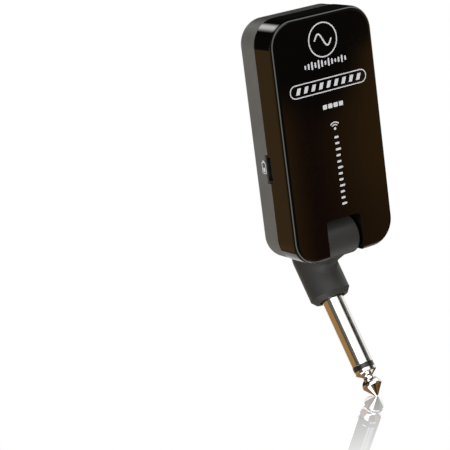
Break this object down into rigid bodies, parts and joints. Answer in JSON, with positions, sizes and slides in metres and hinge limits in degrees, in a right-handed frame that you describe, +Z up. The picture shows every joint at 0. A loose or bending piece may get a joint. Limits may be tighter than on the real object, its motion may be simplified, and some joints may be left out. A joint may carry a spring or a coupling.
{
  "type": "wireless guitar transmitter",
  "caption": "Flat handheld wireless audio transmitter with a folding jack plug on a friction hinge, side keys and a charging socket.",
  "frame": {"origin": "centre of the jack plug's shoulder, on the plug axis, where the metal sleeve leaves the moulded arm", "axes": "+Z up along the housing's length, +X across the housing to its right as seen from the glossy front, -Y out of the glossy front; the plug leans 32 degrees forward of straight down"},
  "size_m": [0.0352, 0.0306, 0.111],
  "materials": {
    "gloss_shell": "high gloss black-brown",
    "matt_shell": "fine matt grey",
    "arm_plastic": "satin dark grey",
    "plated": "polished nickel plate",
    "insulator": "gloss black",
    "steel": "plain",
    "black_screw": "blackened",
    "acetal": "natural",
    "board": "green solder mask",
    "can": "tinned",
    "chip": "moulded",
    "ceramic": "fired",
    "ferrite": "sintered",
    "socket_metal": "nickel plate",
    "tongue": "moulded",
    "cell": "foil pouch",
    "foam": "soft foam",
    "wire_red": "insulated",
    "wire_black": "insulated",
    "cable_jacket": "jacket",
    "key_plastic": "satin",
    "switch_body": "moulded",
    "plunger": "moulded",
    "lamp": "clear epoxy",
    "pipe": "clear",
    "brass": "plain",
    "tube": "moulded"
  },
  "bodies": {
    "plug_arm": {"plug_arm": "arm_plastic", "hinge_pin": "steel", "retaining_clips": "steel", "friction_washer": "steel", "plug_sleeve": "plated", "plug_ring": "insulator", "plug_tip": "plated", "plug_rod": "brass", "rod_insulator": "tube", "ground_lug": "brass", "tip_lug": "brass", "arm_cable": "cable_jacket", "ground_wire": "wire_black", "tip_wire": "wire_red"},
    "power_button": {"power_key": "key_plastic", "power_plunger": "plunger"},
    "channel_button": {"channel_key": "key_plastic", "channel_plunger": "plunger"},
    "housing": {"front_shell": "gloss_shell", "back_shell": "matt_shell", "case_screws": "black_screw", "hinge_bushing_left": "acetal", "hinge_bushing_right": "acetal", "main_board": "board", "board_screws": "steel", "shield_can": "can", "radio_chip": "chip", "crystal": "can", "antenna": "ceramic", "codec_chip": "chip", "charge_chip": "chip", "power_inductor": "ferrite", "usb_socket": "socket_metal", "usb_tongue": "tongue", "battery": "cell", "battery_pad": "foam", "battery_lead_red": "wire_red", "battery_lead_black": "wire_black", "power_switch": "switch_body", "channel_switch": "switch_body", "status_led": "lamp", "light_pipe": "pipe", "housing_cable": "cable_jacket"}
  },
  "joints": [
    {"name": "plug_swing", "type": "hinge", "parent": "plug_arm", "child": "housing", "pos_m": [0, -0.00392, 0.0192], "axis": [1, 0, 0], "range_deg": [-32, 148]},
    {"name": "power_press", "type": "slide", "parent": "housing", "child": "power_button", "axis": [-1, 0, 0], "range_m": [0, 0.0003], "stiffness_N_per_m": 2500, "springref_m": -0.0002},
    {"name": "channel_press", "type": "slide", "parent": "housing", "child": "channel_button", "axis": [-1, 0, 0], "range_m": [0, 0.0003], "stiffness_N_per_m": 2500, "springref_m": -0.0002}
  ]
}
